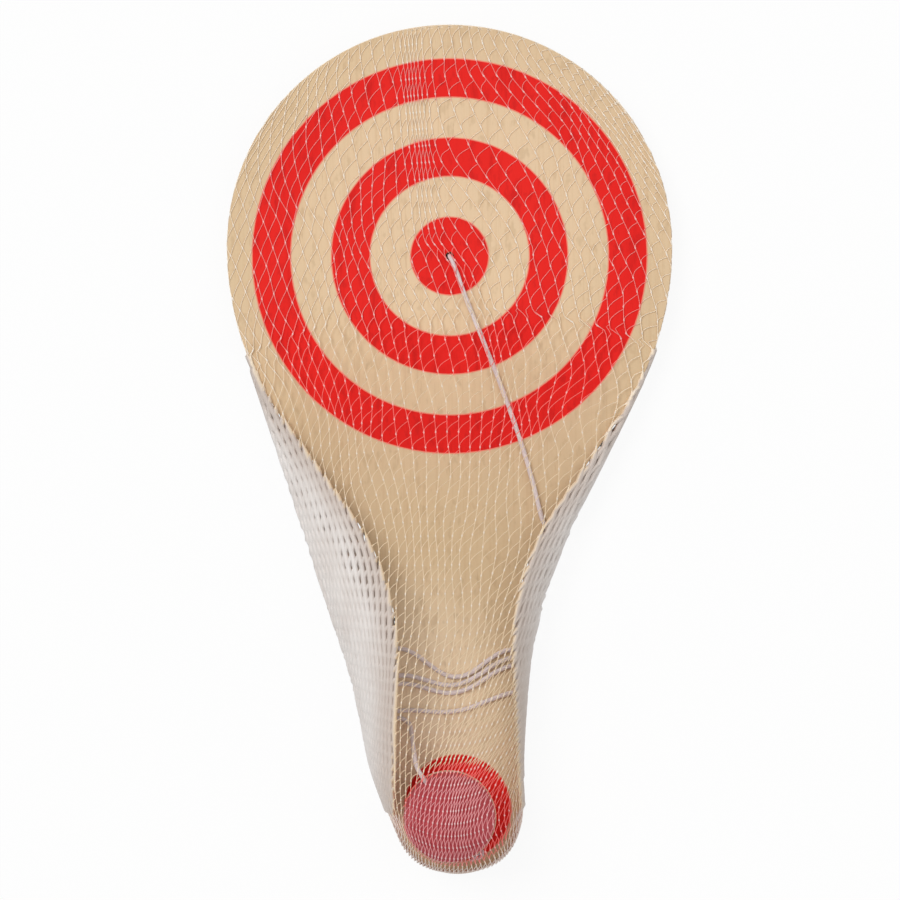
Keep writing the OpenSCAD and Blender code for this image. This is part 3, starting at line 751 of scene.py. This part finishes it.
def past_board(x, y, slant=1.0):
    """Distance in plan past the board's edge, on its flanks times their slant."""
    beside = (np.abs(x) - board_half(y)) * slant
    beside = np.where(y > 0, np.hypot(x, y) - HEAD_R, beside)
    return np.where(y < TOE_Y, np.hypot(x, y - TOE_Y) - TOE_R, beside)


def edge_line(points):
    """A sleeve's edge through its few points: distances from the middle line and places."""
    curve = through([(x, y, 0) for x, y in points], 12)
    return lambda y: np.interp(-y, -curve[:, 1], curve[:, 0])


def sleeve_half(y, points):
    """The sleeve's edge: round the head, along its own points, and round the handle's end."""
    own = edge_line(points)(y)
    upper = np.where(y > points[0][1], head_half(y, NET_OFF), own)
    grip = np.where(y < GRIP_FOOT[1], toe_half(y, NET_OFF), neck_half(y) + NET_OFF)
    lower = np.where(y < TOE_Y, toe_half(y, NET_OFF), grip)
    return np.where(y < points[-1][1], lower, upper)


def end_edges(u):
    """The sleeve's top and foot in plan, two arcs, u running from the left edge."""
    top = np.radians(180 - TOP_CORNER - u * (180 - 2 * TOP_CORNER))
    toe = np.radians(180 + TOE_CORNER + u * (180 - 2 * TOE_CORNER))
    top_r, toe_r = HEAD_R + NET_OFF, TOE_R + NET_OFF
    return (np.stack([top_r * np.cos(top), top_r * np.sin(top)]),
            np.stack([toe_r * np.cos(toe), TOE_Y + toe_r * np.sin(toe)]))


def sleeve_plan(u, v):
    """Where the sleeve lies in plan: a Coons patch between its four edges.

    u runs from the left edge to the right, v from the top edge to the foot. It is the
    blend of the side edges plus the blend of the end edges less that of the corners.
    """
    top, toe = end_edges(u)
    y_top, y_toe = top[1].flat[0], toe[1].flat[0]
    y = y_top + (y_toe - y_top) * v
    x_left, x_right = -sleeve_half(y, LEFT_EDGE), sleeve_half(y, RIGHT_EDGE)
    x = (1 - u) * x_left + u * x_right
    x = x + (1 - v) * (top[0] - ((1 - u) * x_left[..., :1] + u * x_right[..., :1]))
    x = x + v * (toe[0] - ((1 - u) * x_left[..., -1:] + u * x_right[..., -1:]))
    return x, y + (1 - v) * (top[1] - y_top) + v * (toe[1] - y_toe)


def nearest(x, y, line):
    """Distance in plan from each grid point to the nearest point of a line of points."""
    return np.sqrt(((x[..., None] - line[:, 0]) ** 2 + (y[..., None] - line[:, 1]) ** 2).min(-1))


def crowded(steps):
    """Shares from 0 to 1 that lie closest together at both ends: t - 0.85 sin(2 pi t) / 2 pi."""
    t = np.linspace(0, 1, steps)
    return t - 0.85 * np.sin(2 * math.pi * t) / (2 * math.pi)


ACROSS, DOWN = crowded(261), crowded(401)  # where the sleeve's shape is worked out


def sleeve_loops():
    """The sleeve's two sides as closed loops across it, one loop for each value of v.

    Both sides leave the fold at mid height by (1 - (1 - c) ^ 2.2) ^ (1 / 1.6), c being the
    share of the rise's reach. The back falls to the ground. The front rises to the face,
    over the string, and climbs in a tent from the head to the ball: its height is an arch
    across times an arch along, and never less than over the ball.
    """
    u, v = np.meshgrid(ACROSS, DOWN, indexing="ij")
    x, y = sleeve_plan(u, v)
    width = (x[-1] - x[0])[None]
    from_fold = np.minimum(np.minimum(u, 1 - u) * width,
                           np.minimum(v, 1 - v) * (SIDE_RUN + BOW_RUN * np.sin(math.pi * u)))
    web = np.maximum(past_board(x, y, EDGE_SLANT), 0)
    room = np.maximum(from_fold + web - NET_OFF, 0)
    climbed = np.clip(from_fold / (NET_OFF + FOLD_SHARE * room), 0, 1)
    rise = (1 - (1 - climbed) ** 2.2) ** (1 / 1.6)
    along = y - BALL_C[1]
    above, below, across = TENT_POWERS
    climb = np.where(along > 0, arch(along / (TENT_TOP - BALL_C[1]), above) ** 1.2,
                     arch(along / (BALL_C[1] - TOE_Y + TOE_R + NET_OFF), below))
    tent = TENT_RISE * climb * arch(2 * u - 1, across)
    over_face = FACE_Z + NET_OVER - MID_Z
    front_z = MID_Z + rise * (over_face + tent)
    on_face = (string_path[:, 2] > FACE_RUN[0]) & (string_path[:, 1] > FACE_RUN[1])
    from_cord = nearest(x, y, string_path[on_face][::3])
    hump = HUMP * np.clip(1 - (from_cord - HUMP_TOP) / HUMP_REACH, 0, 1) ** 1.5
    front_z = np.maximum(front_z, MID_Z + rise * (over_face + hump))
    over_ball = (BALL_R + BALL_GAP) ** 2 - (x - BALL_C[0]) ** 2 - (y - BALL_C[1]) ** 2
    front_z = np.maximum(front_z, np.where(
        over_ball > 0, BALL_C[2] + np.sqrt(np.maximum(over_ball, 0)), 0))
    back_z = MID_Z + rise * (NET_FLOOR - MID_Z)
    front = np.stack([x, y, front_z], -1)
    back = np.stack([x, y, back_z], -1)
    return np.concatenate([front, back[-2::-1]])


def tinge(colour, share):
    """A colour that lies under a strand, with the share of it that shows as its alpha."""
    return np.array([*paint(*colour)[:3], share])


CROSS_CLEAR = 0.5  # share of a strand's clearness left where two have fused
WOOD_LIT, INK_LIT, BALL, GROUND, TENT_SHADE = range(5)
# over wood and ink the tones are painted lighter than the wood and the ink: painted light against
# the strands' own shade and contact shadow
UNDER = np.array([
    tinge((253, 230, 196), 0.74), tinge((255, 84, 74), 0.78), tinge((230, 104, 112), 0.72),
    # the tents' tone is painted shade, tinged by painted light reflected from the wood
    tinge((232, 229, 226), 0.5), tinge((196, 178, 165), 0.84)])
FOOT = tinge((222, 198, 182), 0.8)  # round the foot of the handle's round end
# the wood's tone with less painted light, for strands that stand off the wood
RAISED = tinge((236, 210, 172), 0.9)  # the wood's, where the net stands off it
SLACK_FROM = -35  # the net hangs slack beside the board from here down
SLACK_IN, SLACK_WIDE = 0.9, 1.3  # it starts so far inside the edge, and is full so far on
FOOT_R = 17.0  # the handle's foot lies past this radius about its end's centre
RAISED_Z, RAISED_OVER = 9.0, 2.0  # it stands off the wood from this height, over so much more
# the tents' painted shade fades away from the board
SHADE_REACH, SHADE_LOST = 10.0, 0.5  # the tents' tone fades over this distance by this share


def slack(points):
    """How slack the net is: nought on the board, one beside it, little round its foot."""
    x, y = points[..., 0], points[..., 1]
    past_edge = np.clip((np.abs(x) - board_half(y) + SLACK_IN) / SLACK_WIDE, 0, 1)
    foot = 0.08 * smooth((np.hypot(x, y - TOE_Y) - FOOT_R) / 4)
    return np.where(y < TOE_Y, foot, np.where(y < SLACK_FROM, past_edge, 0))


def under_colour(points):
    """Colour and showing share of what lies under each point of the net, in plan.

    Red where the distance from the target's centre falls in an inked band, or that from
    the spot's centre is under its radius, painted lighter than the ink as painted light
    against the strands' own shade. Wood elsewhere on the board and at its rim, painted
    lighter than the wood as painted light in the same way, with less of it where the net
    stands off the wood. Rose over the ball. Painted shade in the front of the tents,
    strongest beside the wood and tinged there by painted light reflected from it. The
    ground's tone on the back, and the foot's round the handle's end.
    """
    x, y, z = points.T
    beside = past_board(x, y)
    from_toe = np.hypot(x, y - TOE_Y)
    band = np.floor(np.hypot(x, y - TARGET_Y) / RING_W)
    inked = (band % 2 == 0) & (band < BANDS) | (from_toe < SPOT_R)
    over_ball = np.hypot(x - BALL_C[0], y - BALL_C[1]) < BALL_R
    rim = np.where((y < SLACK_FROM) & (y > TOE_Y), 0, 1)
    kind = np.where(beside < 0, np.where(inked, INK_LIT, WOOD_LIT), np.where(beside < rim, WOOD_LIT, TENT_SHADE))
    kind = np.where(over_ball, BALL, kind)
    kind = np.where((z < BOARD_Z) & (kind != TENT_SHADE), GROUND, kind)
    colours = UNDER[kind]
    # where the net stands off the wood, less painted light is put into the wood's tone
    high = np.clip((z - RAISED_Z) / RAISED_OVER, 0, 1)
    colours = colours + (high * (kind == WOOD_LIT))[:, None] * (RAISED - colours)
    colours[:, 3] = colours[:, 3] + 0.12 * high * (kind == INK_LIT)
    foot = (y < TOE_Y) * smooth((from_toe - FOOT_R) / 3) * (kind != BALL)
    colours = colours + foot[:, None] * (FOOT - colours)
    # the tents' painted shade fades away from the board
    shade_lost = SHADE_LOST * smooth(beside / SHADE_REACH)
    colours[:, 3] = colours[:, 3] - np.where(kind == TENT_SHADE, shade_lost, 0)
    colours[:, 3] = np.where((kind == TENT_SHADE) & (z < MID_Z - 1), 0, colours[:, 3])
    return colours


GATHERS = np.array([  # where columns crowd on the face: x, y and how much closer they lie
    (-14.0, 75.0, 2.4), (-11.0, 58.0, 3.2), (-8.0, 29.0, 2.6), (-6.5, 2.0, 1.3),
    (4.0, -7.0, 0.9), (13.0, -29.0, 0.9), (20.5, -53.0, 0.8), (24.0, -66.0, 0.0)])
GATHER_WIDE = 4.5  # how wide such a bunch is
OVER_BALL = 1.1, 13, 20  # how much closer they lie over the ball, how wide and how long
CLIMB_COUNTS = (-50, 1.0), (-100, 0.2)  # y, and the share of a climb that counts there


def gathering(points):
    """How much closer the columns lie: k exp(-((x - c) / width)^2) on the front.

    The bunch's place c and its strength k are read between the places in GATHERS. Over
    the ball closer exp(-(x / wide)^2 - (y / long)^2) is added, from the ball's centre.
    """
    x, y, z = points[..., 0], points[..., 1], points[..., 2]
    order = np.argsort(GATHERS[:, 1])
    c = np.interp(y, GATHERS[order, 1], GATHERS[order, 0])
    k = np.interp(y, GATHERS[order, 1], GATHERS[order, 2])
    bunch = k * np.exp(-(((x - c) / GATHER_WIDE) ** 2))
    closer, wide, long = OVER_BALL
    ball = closer * np.exp(-(((x - BALL_C[0]) / wide) ** 2) - ((y - BALL_C[1]) / long) ** 2)
    return np.where(z > MID_Z, bunch + ball, 0)


def spread_columns(loops, count):
    """Each loop's points moved along it, to even shares of a count that crowds the tents.

    A step counts for its length, TENT_CROWD times that where it lies past the board's
    edge and more in a bunch, and with only part of its climb below the head.
    """
    step = np.diff(loops, axis=0)
    middle = (loops[1:] + loops[:-1]) / 2
    (head_y, in_full), (tent_y, in_part) = CLIMB_COUNTS
    counted = np.interp(-middle[..., 1], (-head_y, -tent_y), (in_full, in_part))
    climb = counted * step[..., 2]
    length = np.sqrt(step[..., 0] ** 2 + step[..., 1] ** 2 + climb ** 2)
    length = length * (1 + (TENT_CROWD - 1) * slack(middle) + gathering(middle))
    run = np.vstack([np.zeros(length.shape[1]), np.cumsum(length, 0)])
    even = np.linspace(0, 1, count)
    return np.stack([
        np.stack([np.interp(even * r[-1], r, loops[:, k, c]) for k, r in enumerate(run.T)], 1)
        for c in range(3)], -1)


def grid_normals(loops):
    """The sleeve's outward direction at each grid point, across times along."""
    across = np.gradient(np.concatenate([loops[-2:-1], loops, loops[1:2]]), axis=0)[1:-1]
    return unit(np.cross(np.gradient(loops, axis=1), across))


def read_grid(grid, s, v):
    """Values between the grid's points, straight-line in both directions.

    s is the share round the sleeve, which wraps, and v the share down it.
    """
    a = (s % 1.0) * (grid.shape[0] - 1)
    b = np.interp(v, DOWN, np.arange(len(DOWN)))
    i = np.minimum(a.astype(int), grid.shape[0] - 2)
    j = np.minimum(b.astype(int), grid.shape[1] - 2)
    a, b = (a - i)[..., None], (b - j)[..., None]
    return ((1 - a) * ((1 - b) * grid[i, j] + b * grid[i, j + 1])
            + a * ((1 - b) * grid[i + 1, j] + b * grid[i + 1, j + 1]))


WAVES = [  # waves round the sleeve, waves down it, size in columns
    (1, 0.6, 0.9), (2, 1.3, 0.8), (3, 2.1, 0.55), (5, 3.2, 0.35), (4, 5.5, 0.25),
    (9, 6.5, 0.16), (13, 11.0, 0.10)]
wave_starts = seeded.uniform(0, 2 * math.pi, (len(WAVES), 2))
DRIFT, DRIFT_BACK = 0.4, 1.0  # columns for each row, and how much less past the turn
TURN_ROW, TURN_SOFT = 37.0, 3.0
ROW_LIFT = 0.095  # the most that a row is lifted, as a share of the sleeve
LIFT_STARTS, LIFT_PEAKS = 0.3, 0.52  # shares round it where the lift starts and peaks
LIFT_SOON, LIFT_FADES = 0.17, 0.4  # shares down it: it comes so soon, and fades from there


def lean(columns, rows):
    """How far a strand has moved round the sleeve, in columns, at a row.

    It drifts steadily down the head, then back from the neck to the ball, by a smooth
    turn: a r - b s log(1 + exp((r - turn) / s)). Slow waves vary the meshes' width.
    """
    s, v = columns / COLUMNS, rows / ROWS
    past_turn = TURN_SOFT * np.logaddexp(0, (rows - TURN_ROW) / TURN_SOFT)
    drift = DRIFT * rows - DRIFT_BACK * past_turn
    for (around, down, size), (p, q) in zip(WAVES, wave_starts):
        drift = drift + size * np.sin(2 * math.pi * around * s + p) * np.sin(
            2 * math.pi * down * v + q)
    return drift


def on_sleeve(columns, rows):
    """Points and outward directions at places of the net's own lattice.

    A row is at a share t (1.2 - 0.2 t) of the way down, so that rows lie closer there.
    Toward the head's right edge the rows of crossings are lifted, and they sink back
    across the sleeve's back. The lift fades to nought at the top and at the handle.
    """
    s = (columns + lean(columns, rows)) / COLUMNS
    t = rows / ROWS
    v = t * (1.2 - 0.2 * t)
    place = s % 1.0
    lift = ROW_LIFT * smooth((place - LIFT_STARTS) / (LIFT_PEAKS - LIFT_STARTS))
    lift = lift * (1 - smooth((place - LIFT_PEAKS) / (1 - LIFT_PEAKS)))
    v = v - lift * np.tanh(v / LIFT_SOON) * (1 - smooth((v - LIFT_FADES) / LIFT_FADES))
    return read_grid(sleeve, s, v), unit(read_grid(outward, s, v))


def strand_radius(points):
    """A strand's radius: finest on the board, and by its neighbours' distance in the tents.

    The sleeve's back is drawn tighter, so its strands are finer there too.
    """
    apart = np.linalg.norm(np.gradient(points, axis=0), axis=-1)
    fat = np.clip(TENT_FILL * apart, TENT_THIN, TENT_THICK)
    kept = 1 - BACK_FINE * (1 - smooth((points[..., 2] - 1) / 4))
    return STRAND_R + (fat - STRAND_R) * slack(points) * kept


def straight_strands(first, last):
    """Strands that keep their column, thick where the other family fuses with them.

    The radius is the strand's plus a bell over every whole row but the first and last.
    """
    steps = np.array([-0.22, -0.1, 0.0, 0.1, 0.22, 0.5])
    rows = np.unique(np.clip(np.arange(ROWS + 1)[:, None] + steps, 0, ROWS))
    columns, rows = np.meshgrid(np.arange(first, last), rows, indexing="ij")
    points, normals = on_sleeve(columns, rows)
    off = (rows - np.round(rows)) * ROW_RUN / CROSS_HALF
    inner = (rows > 0.5) & (rows < ROWS - 0.5)
    bell = (CROSS_R - STRAND_R) * np.exp(-(off**2)) * inner
    return points, normals, strand_radius(points) + bell * (1 - slack(points))


def curved_strands(first, last):
    """Strands that step back one column in every row.

    Down a row from its upper crossing, a strand first runs with the straight one, then
    leaves it at an angle and eases into the next: the step is 1 - (1 - w) ** p, where w
    is the share of the row past the parting. Parting and power swell and fade slowly
    over the sleeve, so some meshes are near diamonds and others strongly bowed. They are
    a touch thinner than the straight ones.
    """
    steps = np.array([0.0, 0.18, 0.3, 0.42, 0.56, 0.76])
    rows = np.append((np.arange(ROWS)[:, None] + steps).ravel(), ROWS)
    columns, rows = np.meshgrid(np.arange(first, last), rows, indexing="ij")
    whole = np.floor(rows)
    t = rows - whole
    place = (columns - whole) / COLUMNS
    s = (columns - whole + lean(columns - whole, rows)) / COLUMNS % 1.0
    bow = 0.12 + 0.6 * smooth((s - 0.07) / 0.1)
    bow = bow * (0.8 + 0.2 * np.sin(9.7 * place * 2 * math.pi + whole * 0.8))
    parting, power = 0.4 * bow, 1 + 1.5 * bow
    w = np.clip((t - parting) / (1 - parting), 0, 1)
    eased = 1 - (1 - w) ** power
    points, normals = on_sleeve(columns - whole - eased, rows)
    return points, normals, CURVED_THIN * strand_radius(points)


def sealed_ends():
    """The sleeve's ends, pressed shut: a bead along the top arc and the toe's upper rim."""
    steps = 90
    arcs = np.zeros((2, steps, 3))
    for arc, edge, z in zip(arcs, end_edges(np.linspace(0, 1, steps)), (MID_Z, TOE_BEAD_Z)):
        arc[:, :2], arc[:, 2] = edge.T, z
    return arcs, np.broadcast_to((0.0, 0.0, 1.0), arcs.shape), np.full((2, steps), BEAD_R)


sleeve = spread_columns(sleeve_loops(), 721)
outward = grid_normals(sleeve)
milky = net_plastic()
net_pieces = []
for part, (first, last) in {"a": (0, COLUMNS // 2), "b": (COLUMNS // 2, COLUMNS)}.items():
    net_pieces.append(strands(
        f"net_straight_strands_{part}", *straight_strands(first, last), 5, milky))
    net_pieces.append(strands(
        f"net_curved_strands_{part}", *curved_strands(first, last), 4, milky))
net_pieces.append(strands("net_sealed_ends", *sealed_ends(), 8, milky))


# board and prints

face_grain = veneer("face_veneer", 3.7)
back_grain = veneer("back_veneer", 8.2)
core_grain = core_wood()
target_ink = printed_ink("target_ink", (HEAD_Y + TARGET_Y) * MM, RING_W * MM, True)
spot_ink = printed_ink("spot_ink", (HEAD_Y + TOE_Y) * MM, SPOT_R * MM, False)
for name, finish in {
    "front_veneer": face_grain, "back_veneer": back_grain, "core_ply": core_grain,
    "outer_ring_print": target_ink, "middle_ring_print": target_ink,
    "bullseye_print": target_ink, "handle_spot_print": spot_ink,
}.items():
    for slot in nodes[name].material_slots:
        slot.material = finish


# bodies

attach(back_knot, "paddle")
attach(ball_knot, "string_end")
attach(ball, "ball")
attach(ball_line, "ball")
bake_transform(string)
for piece in net_pieces:
    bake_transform(piece)
    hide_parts("net_front", "net_back")
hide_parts("string_face_run", "neck_windings", "ball_lead")
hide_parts("back_knot")
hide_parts("ball_knot")
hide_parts("ball")


# floor and light

def seen_or_mirrored(maker):
    """One for rays from the camera, from gloss and through clear things."""
    light_path = maker.node("ShaderNodeLightPath").socket.node
    camera_ray, glossy_ray, clear_ray = (
        Value(maker.tree, light_path.outputs[f"Is {kind} Ray"])
        for kind in ("Camera", "Glossy", "Transmission"))
    return camera_ray.larger(glossy_ray).larger(clear_ray)


FLOOR_HALF, FLOOR_DROP = 4.0, 0.0001  # metres
FLOOR_WHITE = 0.9  # the share of what is seen of the floor that is plain white


def pale_floor():
    """White paper that keeps the toy's shadow: most of what is seen of it shines white."""
    f = Finish("white_paper")
    f.set(Base_Color=(0.93, 0.93, 0.93, 1), Roughness=0.9, Specular_IOR_Level=0.0)
    white = f.node("ShaderNodeEmission", {}, {"Color": (1, 1, 1, 1), "Strength": 1.0})
    f.show("ShaderNodeOutputMaterial", f.node("ShaderNodeMixShader", {}, {
        0: seen_or_mirrored(f) * FLOOR_WHITE, 1: f.shader.outputs[0], 2: white}))
    return f.material


corners = FLOOR_HALF * np.array([(-1, -1, 0), (1, -1, 0), (1, 1, 0), (-1, 1, 0)])
floor = new_piece("floor", corners - (0, 0, FLOOR_DROP), [np.array([[0, 1, 2, 3]])], pale_floor())

world = bpy.data.worlds.new("studio")
bpy.context.scene.world = world
world.use_nodes = True
sky = Nodes(world.node_tree)
lit = sky.node("ShaderNodeBackground", {}, {"Color": (1, 1, 1, 1), "Strength": 0.55})
seen = sky.node("ShaderNodeBackground", {}, {"Color": (1, 1, 1, 1), "Strength": 1.0})
sky.show("ShaderNodeOutputWorld", sky.node("ShaderNodeMixShader", {}, {
    0: seen_or_mirrored(sky), 1: lit, 2: seen}))

for name, strength, spread, tilt, way in (  # both turned in degrees
    ("key_from_the_upper_left", 1.25, 32, 38, 232),
    ("fill_from_the_right", 0.35, 60, 45, 80),
):
    lamp = bpy.data.objects.new(name, bpy.data.lights.new(name, "SUN"))
    lamp.data.energy = strength
    lamp.data.angle = math.radians(spread)
    lamp.rotation_euler = (math.radians(tilt), 0, math.radians(way))
    bpy.context.scene.collection.objects.link(lamp)
